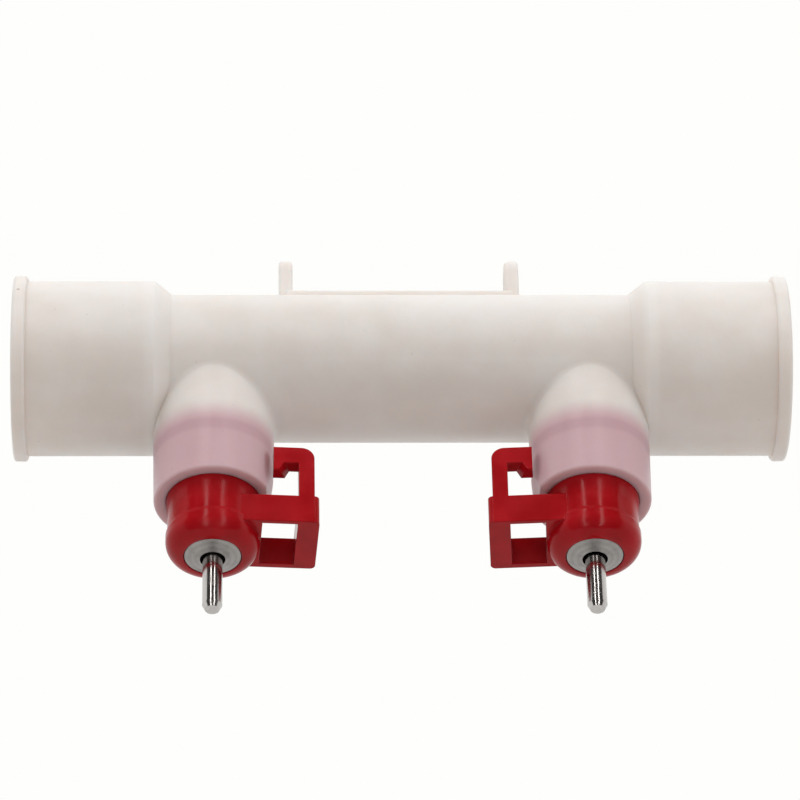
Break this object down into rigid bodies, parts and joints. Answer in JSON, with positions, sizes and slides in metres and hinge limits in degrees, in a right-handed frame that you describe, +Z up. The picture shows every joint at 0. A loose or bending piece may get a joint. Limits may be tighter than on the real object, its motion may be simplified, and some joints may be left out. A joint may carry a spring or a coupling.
{
  "type": "nipple drinker",
  "caption": "Milky round tee for a poultry water line, with red nipple drinkers in its ports, each with a steel trigger pin and a moulded hanger for a drip cup.",
  "frame": {"origin": "middle of the tee, on the water line's axis", "axes": "+X along the water line to the right, +Z up with the trigger pins pointing down, -Y to the front, where the hooks are"},
  "size_m": [0.13, 0.0312, 0.0738],
  "materials": {
    "milky_plastic": "translucent white polypropylene, as moulded",
    "red_plastic": "glossy red, as moulded",
    "turned_steel": "turned stainless steel with fine rings",
    "polished_steel": "polished stainless steel",
    "seal_rubber": "black rubber",
    "grey_plastic": "matt grey, as moulded"
  },
  "bodies": {
    "tee": {"pipe_body": "milky_plastic", "housing_left": "red_plastic", "housing_o_ring_left": "seal_rubber", "seat_bush_left": "turned_steel", "bush_o_ring_left": "seal_rubber", "seat_gasket_left": "seal_rubber", "upper_seat_left": "turned_steel", "ball_cage_left": "grey_plastic", "housing_right": "red_plastic", "housing_o_ring_right": "seal_rubber", "seat_bush_right": "turned_steel", "bush_o_ring_right": "seal_rubber", "seat_gasket_right": "seal_rubber", "upper_seat_right": "turned_steel", "ball_cage_right": "grey_plastic"},
    "trigger_left": {"trigger_pin_left": "polished_steel"},
    "valve_left": {"push_pin_left": "polished_steel", "valve_ball_left": "polished_steel"},
    "trigger_right": {"trigger_pin_right": "polished_steel"},
    "valve_right": {"push_pin_right": "polished_steel", "valve_ball_right": "polished_steel"}
  },
  "joints": [
    {"name": "tilt_left", "type": "hinge", "parent": "tee", "child": "trigger_left", "pos_m": [-0.0285, 0, -0.03753], "axis": [0, 1, 0], "range_deg": [0, 8]},
    {"name": "tilt_right", "type": "hinge", "parent": "tee", "child": "trigger_right", "pos_m": [0.0285, 0, -0.03753], "axis": [0, -1, 0], "range_deg": [0, 8]},
    {"name": "lift_left", "type": "slide", "parent": "tee", "child": "valve_left", "axis": [0, 0, 1], "range_m": [0, 0.0005]},
    {"name": "lift_right", "type": "slide", "parent": "tee", "child": "valve_right", "axis": [0, 0, 1], "range_m": [0, 0.0005]}
  ],
  "couplings": [
    {"joint": "lift_left", "follows": "tilt_left", "m_per_rad": 0.0034},
    {"joint": "lift_right", "follows": "tilt_right", "m_per_rad": 0.0034}
  ]
}
